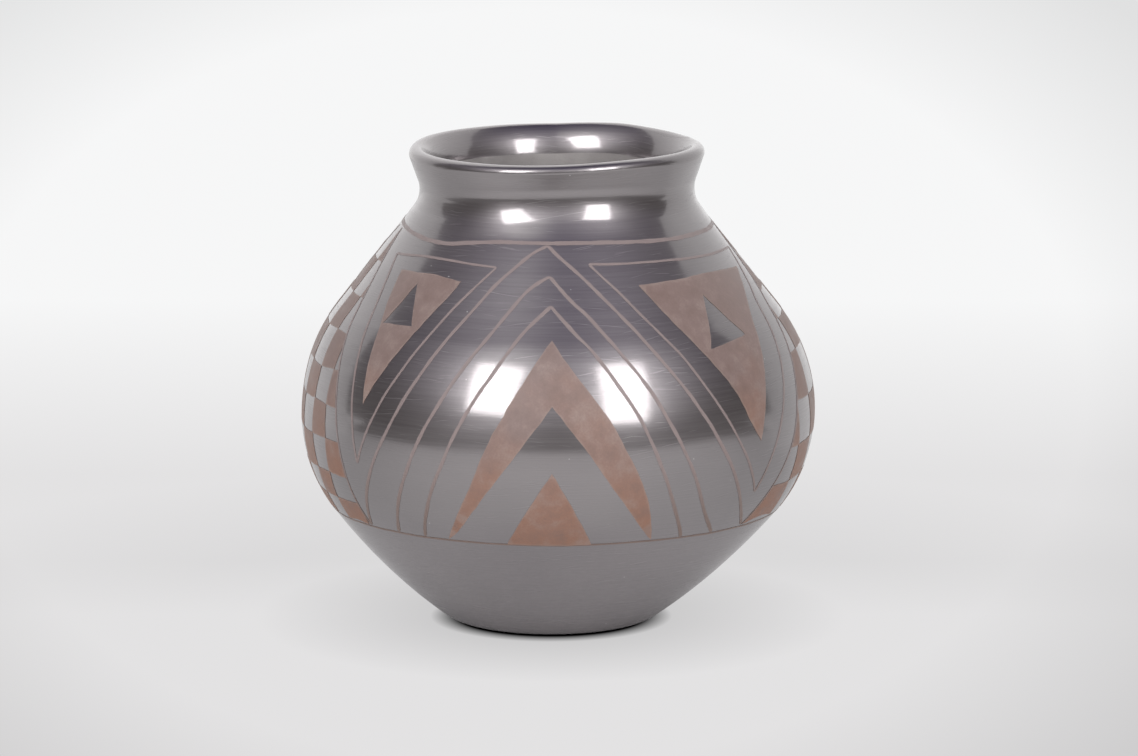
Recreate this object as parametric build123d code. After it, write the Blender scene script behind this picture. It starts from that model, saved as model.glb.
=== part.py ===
from build123d import *
import math
import os

# Coil-built pottery jar with a painted slip design.
# Millimetres, +Z up, origin at the centre of the flat foot, front of the design towards -Y.

# Outside of the clay wall: diameters from foot to lip
foot_diameter = 78.0
belly_diameter = 200.0
waist_diameter = 105.0
lip_diameter = 114.2

# Heights of the wall, each counted from the one before
belly_height = 82.0
waist_rise = 87.2
lip_rise = 16.8

# Curves of the wall, each running smoothly into the next
bowl_radius = 226.0
belly_radius = 59.0
shoulder_radius = 67.0
neck_radius = 11.0
flare_radius = 18.0
foot_round = 14.0

# Clay thickness: of the wall, at the waist and on the floor, and the rounding of the lip
wall = 4.5
neck_wall = 6.5
floor_thickness = 6.0
lip_round = 3.0

# Seams between the clay pieces: each slopes up the wall from outside to inside
bowl_height = 46.0
seam_slope = 5.0
neck_seam_drop = 9.0
rim_seam_rise = 4.0
wall_coils = ["lower_wall_coil", "belly_coil", "upper_wall_coil", "shoulder_coil"]

# Painted slip, with the hairline that keeps its curved faces clear of the clay's
slip = 0.25
slip_clearance = 0.1
brush_line = 1.5
neck_line_width = 1.7
neck_line_drop = 12.7
check_gap = 0.4

# The painted panel. A point is (azimuth, height): the azimuth in degrees from the front, to the right,
# and the height as a share of the painted band, from the base line at 0 to the neck line at 1.
# A stroke is two points for a straight pull of the brush, or three for a bowed one.
chevrons = {
    "outer_chevron": [[(-3, 0.99), (-30, 0.66), (-51.5, 0)], [(-3, 0.99), (25, 0.65), (52, 0)]],
    "middle_chevron": [[(-2, 0.90), (-24, 0.57), (-43, 0)], [(-2, 0.90), (20.5, 0.57), (42, 0)]],
    "inner_chevron": [[(-1.5, 0.81), (-18, 0.51), (-34.5, 0)], [(-1.5, 0.81), (17, 0.49), (33, 0)]],
}
wedge = [
    [(-1, 0.71), (-16, 0.30), (-27, 0)],
    [(-27, 0), (-15, 0.225), (-1, 0.50)],
    [(-1, 0.50), (14, 0.22), (24, 0)],
    [(24, 0), (17, 0.27), (-1, 0.71)],
]
triangle = [[(-11, 0), (-1, 0.26)], [(-1, 0.26), (9, 0)], [(9, 0), (-11, 0)]]
left_hook = [[(-57.5, 0.875), (-30, 0.875)], [(-30, 0.875), (-48.5, 0.45)], [(-48.5, 0.45), (-57.5, 0.875)]]
left_reserve = [[(-46, 0.85), (-40.5, 0.715)], [(-40.5, 0.715), (-51, 0.715)], [(-51, 0.715), (-46, 0.85)]]
right_hook = [
    [(26, 0.87), (74, 0.87)],
    [(74, 0.87), (60, 0.68), (51, 0.34)],
    [(51, 0.34), (26, 0.87)],
]
right_reserve = [[(47.5, 0.815), (55.5, 0.675)], [(55.5, 0.675), (41.5, 0.65)], [(41.5, 0.65), (47.5, 0.815)]]
left_frame = [
    [(-67, 0.925), (-20, 0.925)],
    [(-20, 0.925), (-36.5, 0.64), (-50, 0.25)],
    [(-50, 0.25), (-55.5, 0.62), (-67, 0.925)],
]
right_frame = [
    [(11, 0.93), (84, 0.93)],
    [(84, 0.93), (67.5, 0.60), (52, 0.15)],
    [(52, 0.15), (33, 0.61), (11, 0.93)],
]
left_border = [(-80, 1), (-61.5, 0.55), (-53.5, 0)]
right_border = [(92, 1), (72.5, 0.55), (54.5, 0)]

# How far round the jar the front panel may reach, each way
panel_reach = 100

# Edges of the checks on the left side panel
check_columns = [-53.5, -63.3, -71, -80, -90, -101.5, -111.5, -126.5]
check_rows = [0, 0.085, 0.18, 0.30, 0.415, 0.535, 0.655, 0.77, 0.88, 1]

# Heights that follow from the driving sizes
waist_height = belly_height + waist_rise
lip_height = waist_height + lip_rise
base_line_top = bowl_height + brush_line / 2
neck_line_bottom = waist_height - neck_line_drop - neck_line_width / 2


def polar(angle):
    """Unit vector in the wall's section, angle in degrees above level."""
    return Vector(math.cos(math.radians(angle)), math.sin(math.radians(angle)))


def angle_of(vector):
    """Angle of a vector in the wall's section, in degrees above level."""
    return math.degrees(math.atan2(vector.Y, vector.X))


def bridge_angle(convex_centre, convex_radius, hollow_centre, hollow_radius, side):
    """Direction that a straight stretch of wall faces, between a convex and a hollow curve it runs into."""
    across = hollow_centre - convex_centre
    return angle_of(across) + side * math.degrees(math.acos((convex_radius + hollow_radius) / across.length))


def enclosing_centre(point, radius, inner_centre, inner_radius):
    """Centre of an arc from a point that runs smoothly into a smaller circle, with the arc bowed outwards."""
    across = inner_centre - point
    along = (across.length**2 + radius**2 - (radius - inner_radius)**2) / (2 * across.length)
    turn = math.degrees(math.acos(along / radius))
    return point + polar(angle_of(across) + turn) * radius


# Centres and radii of the wall's curves, in the section (radius, height)
foot_edge = Vector(foot_diameter / 2, 0)
belly_centre = Vector(belly_diameter / 2 - belly_radius, belly_height)
bowl_centre = enclosing_centre(foot_edge, bowl_radius, belly_centre, belly_radius)
bowl_angle = angle_of(belly_centre - bowl_centre)
bowl_end = bowl_centre + polar(bowl_angle) * bowl_radius
shoulder_centre = Vector(belly_diameter / 2 - shoulder_radius, belly_height)
neck_centre = Vector(waist_diameter / 2 + neck_radius, waist_height)
lip_centre = Vector(lip_diameter / 2 - lip_round, lip_height - lip_round)
shoulder_angle = bridge_angle(shoulder_centre, shoulder_radius, neck_centre, neck_radius, -1)
flare_angle = bridge_angle(lip_centre, lip_round, neck_centre, neck_radius, 1)
shoulder_start = shoulder_centre + polar(shoulder_angle) * shoulder_radius
neck_start = neck_centre - polar(shoulder_angle) * neck_radius

# Inside of the neck: one curve from the throat out to the lip, which it meets at the lip slope
throat_radius = waist_diameter / 2 - neck_wall
flare_reach = flare_radius - lip_round
lip_slope = math.degrees(math.acos((throat_radius + flare_radius - lip_centre.X) / flare_reach))
flare_centre = lip_centre + polar(-lip_slope) * flare_reach
throat_angle = bridge_angle(shoulder_centre, shoulder_radius - wall, flare_centre, flare_radius, -1)


def arc(centre, radius, start, end):
    """Arc in the section, from one angle to another."""
    return CenterArc((centre.X, centre.Y), radius, start, end - start)


def straight(start, end):
    """Straight line in the section."""
    return Line((start.X, start.Y), (end.X, end.Y))


def body_curve(offset, foot, shoulder_end):
    """The wall's line from the foot to the angle where the shoulder ends, moved outwards by an offset."""
    return [
        arc(bowl_centre, bowl_radius + offset, angle_of(foot - bowl_centre), bowl_angle),
        arc(belly_centre, belly_radius + offset, bowl_angle, 0),
        arc(shoulder_centre, shoulder_radius + offset, 0, shoulder_end),
    ]


def outer_neck():
    """Outside of the wall from the shoulder over the lip."""
    neck_end = neck_centre - polar(flare_angle) * neck_radius
    flare_end = lip_centre + polar(flare_angle) * lip_round
    return [
        straight(shoulder_start, neck_start),
        arc(neck_centre, neck_radius, shoulder_angle + 180, flare_angle + 180),
        straight(neck_end, flare_end),
        arc(lip_centre, lip_round, flare_angle, 180 - lip_slope),
    ]


def inner_neck():
    """Inside of the wall from the shoulder through the throat to the lip."""
    throat_foot = shoulder_centre + polar(throat_angle) * (shoulder_radius - wall)
    throat_start = flare_centre - polar(throat_angle) * flare_radius
    return [
        straight(throat_foot, throat_start),
        arc(flare_centre, flare_radius, throat_angle + 180, 180 - lip_slope),
    ]


def on_bowl_curve(offset, height):
    """Point of the bowl's curve at a height, moved outwards by an offset."""
    rise = math.asin((height - bowl_centre.Y) / (bowl_radius + offset))
    return Vector(bowl_centre.X + (bowl_radius + offset) * math.cos(rise), height)


def wall_section():
    """Section of the whole clay wall, from the axis to the outside."""
    floor_edge = on_bowl_curve(-wall, floor_thickness)
    axis_bottom = Vector(0, 0)
    axis_floor = Vector(0, floor_thickness)
    edges = [straight(axis_bottom, foot_edge), straight(floor_edge, axis_floor)]
    edges.append(straight(axis_floor, axis_bottom))
    edges += body_curve(0, foot_edge, shoulder_angle) + outer_neck()
    edges += body_curve(-wall, floor_edge, throat_angle) + inner_neck()
    section = make_face(edges)
    foot_corner = section.vertices().sort_by_distance((foot_edge.X, foot_edge.Y, 0))[0]
    return fillet(foot_corner, foot_round)


def wall_at(height):
    """Outside radius of the wall at a height, and the direction that it faces there."""
    if height < bowl_end.Y:
        centre, radius = bowl_centre, bowl_radius
    elif height < belly_height:
        centre, radius = belly_centre, belly_radius
    elif height < shoulder_start.Y:
        centre, radius = shoulder_centre, shoulder_radius
    elif height < neck_start.Y:
        share = (height - shoulder_start.Y) / (neck_start.Y - shoulder_start.Y)
        return shoulder_start.X + share * (neck_start.X - shoulder_start.X), shoulder_angle
    else:
        centre, radius = neck_centre, -neck_radius
    rise = math.asin((height - centre.Y) / radius)
    return centre.X + radius * math.cos(rise), math.degrees(rise)


def seam(height):
    """Line of a seam in the section: it runs past both faces of the wall, rising from outside to inside."""
    radius, facing = wall_at(height)
    outside = Vector(radius, height)
    across = polar(facing + 90) * seam_slope - polar(facing) * wall
    return outside - across, outside + across * 2


def clay_pieces():
    """The wall cut at its seams into the pieces that it is built up from, as rings round the axis."""
    neck_seam = waist_height - neck_seam_drop
    coil_height = (neck_seam - bowl_height) / len(wall_coils)
    heights = [bowl_height + coil_height * index for index in range(len(wall_coils))]
    seams = [seam(height) for height in heights + [neck_seam, waist_height + rim_seam_rise]]
    beyond = belly_diameter
    floor_corners = (Vector(beyond, -beyond), Vector(-beyond, bowl_height))
    sky_corners = (Vector(beyond, lip_height + beyond), Vector(0, lip_height + beyond))
    limits = [floor_corners] + seams + [sky_corners]
    names = ["base_bowl"] + wall_coils + ["neck_coil", "rim_coil"]
    section = wall_section()
    pieces = {}
    for name, below, above in zip(names, limits, limits[1:]):
        corners = [below[0], above[0], above[1], below[1]]
        strip = make_face(Polyline([(corner.X, corner.Y) for corner in corners], close=True))
        pieces[name] = revolve(Plane.XZ * (section & strip), Axis.Z)
    return pieces


def painted_curve(offset):
    """Outside of the wall as far as the neck, moved outwards by an offset."""
    shift = polar(shoulder_angle) * offset
    body = body_curve(offset, on_bowl_curve(offset, 0), shoulder_angle)
    return body + [straight(shoulder_start + shift, neck_start + shift)]


def slip_section(bottom, top):
    """Section of a slip layer on the outside of the wall, between two heights."""
    back = painted_curve(slip_clearance)
    front = painted_curve(slip_clearance + slip)
    ends = [Line(back[0] @ 0, front[0] @ 0), Line(back[-1] @ 1, front[-1] @ 1)]
    band = Pos(belly_diameter / 2, (bottom + top) / 2) * Rectangle(belly_diameter, top - bottom)
    return make_face(back + front + ends) & band


def slip_sector(section, start, end):
    """Part of a slip layer between two azimuths."""
    return revolve(Rot(0, 0, start - 90) * (Plane.XZ * section), Axis.Z, end - start)


def facing_plane(azimuth):
    """Upright plane through the axis that faces an azimuth."""
    turn = math.radians(azimuth)
    return Plane((0, 0, 0), (math.cos(turn), math.sin(turn), 0), (math.sin(turn), -math.cos(turn), 0))


def band_height(share):
    """Height of a point of the design from its share of the painted band."""
    neck_line = waist_height - neck_line_drop
    return bowl_height + share * (neck_line - bowl_height)


def stroke(points, azimuth):
    """One pull of the brush, laid flat on the plane that faces an azimuth."""
    flat = []
    for place, share in points:
        height = band_height(share)
        radius = wall_at(height)[0]
        flat.append((radius * math.sin(math.radians(place - azimuth)), height))
    return Line(*flat) if len(flat) == 2 else ThreePointArc(*flat)


def projected(sketch, azimuth):
    """A flat drawing pushed outwards through the wall, from the axis."""
    return extrude(facing_plane(azimuth) * sketch, belly_diameter)


def filled(strokes, azimuth):
    """Drawing of a shape that the strokes enclose."""
    return make_face([stroke(points, azimuth) for points in strokes])


def brushed(strokes, azimuth):
    """Drawing of brush lines along the strokes."""
    lines = [SlotArc(stroke(points, azimuth), brush_line) for points in strokes]
    return Sketch() + lines


def middle(strokes):
    """Azimuth halfway across a group of strokes."""
    places = [place for points in strokes for place, share in points]
    return (min(places) + max(places)) / 2


def panel_pieces():
    """The painted panel on the front of the jar."""
    sector = slip_sector(slip_section(base_line_top, neck_line_bottom), -panel_reach, panel_reach)
    drawings = {}
    for name, halves in chevrons.items():
        left, right = [projected(brushed([half], middle([half])), middle([half])) for half in halves]
        drawings[name] = left + right
    drawings["wedge"] = projected(filled(wedge, middle(wedge)), middle(wedge))
    drawings["triangle"] = projected(filled(triangle, middle(triangle)), middle(triangle))
    hooks = {"left_hook": (left_hook, left_reserve), "right_hook": (right_hook, right_reserve)}
    for name, (hook, reserve) in hooks.items():
        azimuth = middle(hook)
        drawings[name] = projected(filled(hook, azimuth) - filled(reserve, azimuth), azimuth)
    for name, frame in (("left_frame", left_frame), ("right_frame", right_frame)):
        drawings[name] = projected(brushed(frame, middle(frame)), middle(frame))
    for name, border in (("left_border", left_border), ("right_border", right_border)):
        drawings[name] = projected(brushed([border], middle([border])), middle([border]))
    return {name: sector & drawing for name, drawing in drawings.items()}


def beside(border, direction):
    """Everything on one side of a border line, clear of the line itself: -1 for its left, 1 for its right."""
    azimuth = middle([border])
    line = stroke(border, azimuth)
    far = direction * belly_diameter
    outer_corners = [(far, (line @ 1).Y), (far, (line @ 0).Y)]
    closing = Polyline([line @ 1] + outer_corners + [line @ 0])
    ground = make_face(line.edges() + closing.edges())
    return projected(ground - SlotArc(line, brush_line + check_gap), azimuth)


def checker():
    """The checkered panel on the left side, between the borders of the front panel and the back panel."""
    back_border = [(place - 180, share) for place, share in right_border]
    room = beside(left_border, -1) & beside(back_border, 1)
    half_gap = check_gap / 2
    checks = []
    for row, (low, high) in enumerate(zip(check_rows, check_rows[1:])):
        bottom_edge = max(band_height(low) + half_gap, base_line_top)
        top_edge = min(band_height(high) - half_gap, neck_line_bottom)
        section = slip_section(bottom_edge, top_edge)
        turn_gap = math.degrees(half_gap / wall_at((bottom_edge + top_edge) / 2)[0])
        for column, (front, back) in enumerate(zip(check_columns, check_columns[1:])):
            if (row + column) % 2 == 0:
                checks += (slip_sector(section, back + turn_gap, front - turn_gap) & room).solids()
    return Compound(children=checks)


def half_turn(piece):
    """The same piece on the opposite side of the jar."""
    return Rot(0, 0, 180) * piece


def painted_pieces():
    """Every slip layer: the two lines round the jar, and each motif with its twin on the opposite side."""
    neck_line_top = neck_line_bottom + neck_line_width
    base_line_bottom = bowl_height - brush_line / 2
    pieces = {
        "base_line": revolve(Plane.XZ * slip_section(base_line_bottom, base_line_top), Axis.Z),
        "neck_line": revolve(Plane.XZ * slip_section(neck_line_bottom, neck_line_top), Axis.Z),
    }
    motifs = {**panel_pieces(), "checker": checker()}
    for name, motif in motifs.items():
        pieces[name + "s"] = Compound(children=motif.solids() + half_turn(motif).solids())
    return pieces


os.makedirs("parts", exist_ok=True)
for node, shape in {**clay_pieces(), **painted_pieces()}.items():
    export_step(shape, f"parts/{node}.step")
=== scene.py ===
import bpy
import math
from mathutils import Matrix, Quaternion, Vector, noise
from mathutils.geometry import delaunay_2d_cdt


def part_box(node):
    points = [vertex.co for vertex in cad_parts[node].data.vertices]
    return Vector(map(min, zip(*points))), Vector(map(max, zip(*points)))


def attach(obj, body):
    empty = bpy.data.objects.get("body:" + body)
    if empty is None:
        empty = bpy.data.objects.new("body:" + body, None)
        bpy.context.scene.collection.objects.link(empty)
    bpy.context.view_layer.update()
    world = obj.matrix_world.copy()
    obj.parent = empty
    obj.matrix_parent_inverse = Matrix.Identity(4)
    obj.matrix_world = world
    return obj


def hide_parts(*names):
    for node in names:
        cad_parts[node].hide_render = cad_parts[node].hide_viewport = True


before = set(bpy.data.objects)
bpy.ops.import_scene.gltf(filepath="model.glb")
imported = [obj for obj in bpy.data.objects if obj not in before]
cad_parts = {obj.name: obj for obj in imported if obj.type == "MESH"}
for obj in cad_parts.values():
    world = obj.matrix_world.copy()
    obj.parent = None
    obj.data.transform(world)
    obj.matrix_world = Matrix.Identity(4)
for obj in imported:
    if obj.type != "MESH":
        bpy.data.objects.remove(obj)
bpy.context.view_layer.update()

# A hand-built pottery jar, burnished to a graphite sheen and painted with matte slip.
# Lengths are millimetres on the jar and for the camera, and metres on the stage and in the materials.
# Azimuths of the design are degrees from the front, to the right.
MM = 0.001


def middle_height(node):
    """Height of the middle of a CAD node."""
    low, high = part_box(node)
    return (low.z + high.z) / 2 / MM


# Sizes read from the CAD parts
lip_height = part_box("rim_coil")[1].z / MM
belly_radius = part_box("belly_coil")[1].x / MM
base_line_height = middle_height("base_line")

# Outside of the clay wall
foot_radius = 39.0
belly_height = 82.0
waist_radius = 52.5
waist_height = lip_height - 16.8
lip_radius = 57.1

# Curves of the wall, from the foot to the lip
foot_curve = 14.0
bowl_curve = 226.0
belly_curve = 59.0
shoulder_curve = 67.0
neck_curve = 11.0
flare_curve = 18.0
lip_curve = 3.0

# Clay thickness, seams between the clay pieces, how far down the inside is burnished, and how it faces
wall = 4.5
neck_wall = 6.5
floor_thickness = 6.0
seam_slope = 5.0
neck_seam = waist_height - 9.0
rim_seam = waist_height + 4.0
wall_coils = ["lower_wall_coil", "belly_coil", "upper_wall_coil", "shoulder_coil"]
burnish_height = waist_height + 6.1
inside_facing = 0.7 * math.pi

# Fineness of the meshes
ring_sides = 384
row_step = 1.4
fine_row_step = 0.5
lip_steps = 18
foot_steps = 9
flat_rows = 4
brush_step = 0.9
fill_step = 2.4
merge_distance = 1e-4
sharp_angle = math.radians(40)
normal_nudge = 0.05

# Slip layer: how far its face stands off the clay, how far its back is bedded in, and the step per layer
slip_face = 0.09
slip_bed = 0.05
slip_layer_step = 0.006

# Widths of the painted lines, and the gap between the checks and the lines beside them
chevron_width = 1.35
frame_width = 1.0
border_width = 0.8
base_line_width = 0.75
neck_line_width = 1.7
check_gap = 0.5

# Unsteadiness of the brush. A waver is (amount, shift of the seed, pitch along the line).
width_wavers = [(0.22, 0.0, 5.0), (0.16, 0.5, 1.7)]
path_wavers = [(0.22, 0.25, 9.0)]
edge_waver = 0.28
edge_pitch = 4.0
edge_seed_shift = 0.4
corner_pitch = 3.0
end_rounding = 0.9

# Seeds of the unsteadiness: one step for each piece, and shifts for twins and reserves
piece_seeds = 10
twin_seed = 50
reserve_seed = 20
check_seeds = (300, 500)
ring_line_seed = 900
seed_spacing = 7.31
noise_plane = 0.5

# Hand-made unevenness of the wall. A wave is (share, turns round the jar, climb per mm of height, start).
# Here and below, a pair of limits is where a change starts and where it is full.
wall_swell = 0.22
swell_waves = [(1.0, 2, 0.022, 0.6), (0.8, 3, -0.035, -1.1), (0.35, 7, 0.09, 0.0), (0.3, 5, -0.16, 2.0)]
swell_heights = (2.0, 40.0)
left_flat = 0.7
left_flat_sides = (0.2, 1.0)
left_flat_heights = (60.0, 100.0)

# How far the wall leans to the right at a height, and how far the rim rises at an azimuth
lean = [(0, -1.9), (25, -0.9), (50, 0.1), (75, 0.6), (100, 0.4), (130, 0.2), (186, 0.0)]
rim_heights = [
    (-180, 0.3), (-145, 0.3), (-110, 0.15), (-90, -0.45), (-60, -1.1), (-30, -1.3), (0, -0.9),
    (30, 0.1), (60, 0.5), (90, 0.3), (115, 0.1), (136, 0.6), (151, 1.2), (164, 0.95), (180, 0.3),
]
rim_wave_start = 140.0

# Neck and lip: flattened from front to back, and the neck widened, dented and pulled up at the front
neck_flat = 0.6
lip_flat = 1.0
neck_wide = 0.8
neck_aside = -1.2
neck_dents = (0.6, 0.3)
dent_sides = (-0.3, 0.3)
dent_turns = 6
neck_front = (0.6, 0.95)
neck_heights = (waist_height - 14.0, waist_height)
lip_heights = (waist_height + 2.0, lip_height)
neck_lift = 3.5
lift_front = (0.45, 0.97)
lift_start = (waist_height - 12.0, waist_height + 2.0)
lift_end = (waist_height + 1.0, lip_height + 4.0)


def polar(angle):
    """Unit vector in the wall's section, angle in radians above level."""
    return Vector((math.cos(angle), math.sin(angle)))


def angle_of(vector):
    """Angle of a vector in the wall's section, in radians above level."""
    return math.atan2(vector.y, vector.x)


def smooth_share(low, high, value):
    """0 below low, 1 above high, with a smooth step between."""
    share = min(max((value - low) / (high - low), 0.0), 1.0)
    return share * share * (3 - 2 * share)


def bridge_angle(convex_centre, convex_radius, hollow_centre, hollow_radius, side):
    """Direction that a straight stretch of wall faces, between a convex and a hollow curve."""
    across = hollow_centre - convex_centre
    return angle_of(across) + side * math.acos((convex_radius + hollow_radius) / across.length)


def enclosing_centre(point, radius, inner_centre, inner_radius):
    """Centre of an arc from a point that runs smoothly into a smaller circle."""
    across = inner_centre - point
    along = (across.length**2 + radius**2 - (radius - inner_radius)**2) / (2 * across.length)
    return point + polar(angle_of(across) + math.acos(along / radius)) * radius


# Centres of the wall's curves in the section (radius, height), and the directions where they meet
belly_centre = Vector((belly_radius - belly_curve, belly_height))
bowl_centre = enclosing_centre(Vector((foot_radius, 0)), bowl_curve, belly_centre, belly_curve)
foot_reach = math.sqrt((bowl_curve - foot_curve)**2 - (foot_curve - bowl_centre.y)**2)
foot_centre = Vector((bowl_centre.x + foot_reach, foot_curve))
shoulder_centre = Vector((belly_radius - shoulder_curve, belly_height))
neck_centre = Vector((waist_radius + neck_curve, waist_height))
lip_centre = Vector((lip_radius - lip_curve, lip_height - lip_curve))
foot_angle = angle_of(foot_centre - bowl_centre)
bowl_angle = angle_of(belly_centre - bowl_centre)
shoulder_angle = bridge_angle(shoulder_centre, shoulder_curve, neck_centre, neck_curve, -1)
flare_angle = bridge_angle(lip_centre, lip_curve, neck_centre, neck_curve, 1)
throat_radius = waist_radius - neck_wall
flare_reach = flare_curve - lip_curve
lip_slope = math.acos((throat_radius + flare_curve - lip_centre.x) / flare_reach)
flare_centre = lip_centre + polar(-lip_slope) * flare_reach
throat_angle = bridge_angle(shoulder_centre, shoulder_curve - wall, flare_centre, flare_curve, -1)

# Each curve: centre, radius (below 0 where hollow), and the directions it faces at its two ends
wall_arcs = [
    (foot_centre, foot_curve, -math.pi / 2, foot_angle),
    (bowl_centre, bowl_curve, foot_angle, bowl_angle),
    (belly_centre, belly_curve, bowl_angle, 0.0),
    (shoulder_centre, shoulder_curve, 0.0, shoulder_angle),
    (neck_centre, -neck_curve, shoulder_angle, flare_angle),
]
inside_arcs = [
    (foot_centre, foot_curve - wall, -math.pi / 2, foot_angle),
    (bowl_centre, bowl_curve - wall, foot_angle, bowl_angle),
    (belly_centre, belly_curve - wall, bowl_angle, 0.0),
    (shoulder_centre, shoulder_curve - wall, 0.0, throat_angle),
    (flare_centre, -flare_curve, throat_angle, -lip_slope),
]


def face_at(arcs, height):
    """Radius of a face of the wall at a height, and the direction it faces, seen from outside."""
    for centre, radius, start, end in arcs:
        low = centre.y + radius * math.sin(start)
        high = centre.y + radius * math.sin(end)
        if height < low:
            return centre.x + radius * math.cos(start) + (low - height) * math.tan(start), start
        if height <= high:
            facing = math.asin((height - centre.y) / radius)
            return centre.x + radius * math.cos(facing), facing
    return centre.x + radius * math.cos(end) - (height - high) * math.tan(end), end


def wall_at(height):
    """Radius of the outside of the wall at a height, and the direction it faces."""
    return face_at(wall_arcs, height)


def curve_value(points, place):
    """Height at a place of a smooth curve through points in order."""
    index = max(1, next((i for i, point in enumerate(points) if point[0] >= place), len(points) - 1))
    before, after = points[max(index - 2, 0)], points[min(index + 1, len(points) - 1)]
    left, right = points[index - 1], points[index]
    span = right[0] - left[0]
    share = (place - left[0]) / span
    left_slope = (right[1] - before[1]) / (right[0] - before[0]) * span
    right_slope = (after[1] - left[1]) / (after[0] - left[0]) * span
    rise = smooth_share(0.0, 1.0, share)
    bend = share * (1 - share) * ((1 - share) * left_slope - share * right_slope)
    return left[1] + (right[1] - left[1]) * rise + bend


def wall_waves(azimuth, height):
    """Slow waves of the hand-smoothed wall."""
    waves = 0.0
    for share, turns, climb, start in swell_waves:
        waves += share * math.sin(turns * azimuth + climb * height + start)
    return wall_swell * waves * smooth_share(*swell_heights, height)


def neck_shape(azimuth, height):
    """How far the neck and the lip stand out from a true round."""
    aside, ahead = math.sin(azimuth), math.cos(azimuth)
    near_neck = smooth_share(*neck_heights, height)
    near_lip = smooth_share(*lip_heights, height)
    oval = neck_flat * near_neck + lip_flat * near_lip
    left_dent, right_dent = neck_dents
    dent = left_dent + (right_dent - left_dent) * smooth_share(*dent_sides, aside)
    pressed = dent * math.cos(dent_turns * azimuth) - neck_aside * aside
    pressed *= smooth_share(*neck_front, ahead)
    return near_neck * (1 - near_lip) * (neck_wide * aside**2 - pressed) - oval * ahead**2


def swell(azimuth, height):
    """How far the wall stands out from a true round; its upper left is pressed in."""
    on_left = smooth_share(*left_flat_sides, -math.sin(azimuth))
    pressed = left_flat * on_left * smooth_share(*left_flat_heights, height)
    return wall_waves(azimuth, height) - pressed + neck_shape(azimuth, height)


def neck_rise(azimuth, height):
    """How far the front of the neck is pulled up."""
    middle = smooth_share(*lift_start, height) * (1 - smooth_share(*lift_end, height))
    return neck_lift * middle * smooth_share(*lift_front, math.cos(azimuth))


def placed(radius, height, azimuth):
    """Point of the jar, in metres, with the unevenness of work by hand; azimuth in radians."""
    out = radius + swell(azimuth, height) * smooth_share(0.0, waist_radius / 2, radius)
    aside = curve_value(lean, height)
    wave = curve_value(rim_heights, (math.degrees(azimuth) + 180) % 360 - 180)
    lift = wave * smooth_share(rim_wave_start, lip_height, height) + neck_rise(azimuth, height)
    return Vector((out * math.sin(azimuth) + aside, -out * math.cos(azimuth), height + lift)) * MM


def placed_normal(radius, height, azimuth, facing):
    """Direction that the uneven wall faces at a point; facing is its direction in the section."""
    along = Vector((-math.sin(facing), math.cos(facing))) * normal_nudge
    turn = normal_nudge / max(radius, 1.0)
    around = placed(radius, height, azimuth + turn) - placed(radius, height, azimuth - turn)
    above = placed(radius + along.x, height + along.y, azimuth)
    below = placed(radius - along.x, height - along.y, azimuth)
    return around.cross(above - below).normalized()


def on_wall(azimuth, height, offset):
    """Point on the outside of the wall, in metres, moved outwards by an offset; azimuth in degrees."""
    radius, facing = wall_at(height)
    shift = polar(facing) * offset
    return placed(radius + shift.x, height + shift.y, math.radians(azimuth))


# Clay pieces. A row is (radius, height, facing) and goes once round the jar.


def face_rows(arcs, low, high, step):
    """Rows of a face of the wall between two heights."""
    count = max(2, math.ceil((high - low) / step))
    rows = []
    for index in range(count + 1):
        height = low + (high - low) * index / count
        radius, facing = face_at(arcs, height)
        rows.append((radius, height, facing))
    return rows


def outside_rows(low, high):
    """Rows up the outside of the wall between two heights."""
    return face_rows(wall_arcs, low, high, row_step if high < neck_seam + 1 else fine_row_step)


def inside_rows(high, low):
    """Rows down the inside of the wall between two heights."""
    rows = face_rows(inside_arcs, low, high, row_step if low < neck_seam else fine_row_step)
    return [(radius, height, facing + math.pi) for radius, height, facing in reversed(rows)]


def arc_rows(centre, radius, start, end, steps):
    """Rows along an arc of the section."""
    rows = []
    for index in range(steps + 1):
        facing = start + (end - start) * index / steps
        point = centre + polar(facing) * radius
        rows.append((point.x, point.y, facing))
    return rows


def seam_inside(height):
    """Height on the inside where a seam ends that starts at a height on the outside."""
    facing = wall_at(height)[1]
    return height + seam_slope * math.cos(facing) - wall * math.sin(facing)


def bowl_runs(seam):
    """The base bowl: flat foot and outer wall, then inner wall and floor."""
    foot = [(foot_centre.x * index / flat_rows, 0.0, -math.pi / 2) for index in range(flat_rows)]
    foot += arc_rows(foot_centre, foot_curve, -math.pi / 2, foot_angle, foot_steps)
    outside = outside_rows(foot[-1][1], seam)
    inside = inside_rows(seam_inside(seam), floor_thickness)
    shares = [1 - index / flat_rows for index in range(1, flat_rows + 1)]
    floor = [(inside[-1][0] * share, floor_thickness, math.pi / 2) for share in shares]
    return [foot + outside[1:], inside + floor]


def rim_runs(seam):
    """The rim: outer face, rounded lip and inner face in one smooth run."""
    lip = arc_rows(lip_centre, lip_curve, flare_angle, math.pi - lip_slope, lip_steps)
    outside = outside_rows(seam, lip[0][1])
    inside = inside_rows(lip[-1][1], seam_inside(seam))
    return [outside + lip[1:] + inside[1:]]


def coil_runs(low, high):
    """A coil of the wall: outer face, then inner face."""
    return [outside_rows(low, high), inside_rows(seam_inside(high), seam_inside(low))]


def turned_rows(rows):
    """Points and normals of rows turned round the axis, and the index of each row's first point."""
    turns = [2 * math.pi * side / ring_sides for side in range(ring_sides)]
    points, normals, first = [], [], []
    for radius, height, facing in rows:
        first.append(len(points))
        for turn in turns if radius > 0 else turns[:1]:
            points.append(placed(radius, height, turn))
            normals.append(placed_normal(radius, height, turn, facing))
    return points, normals, first


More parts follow.
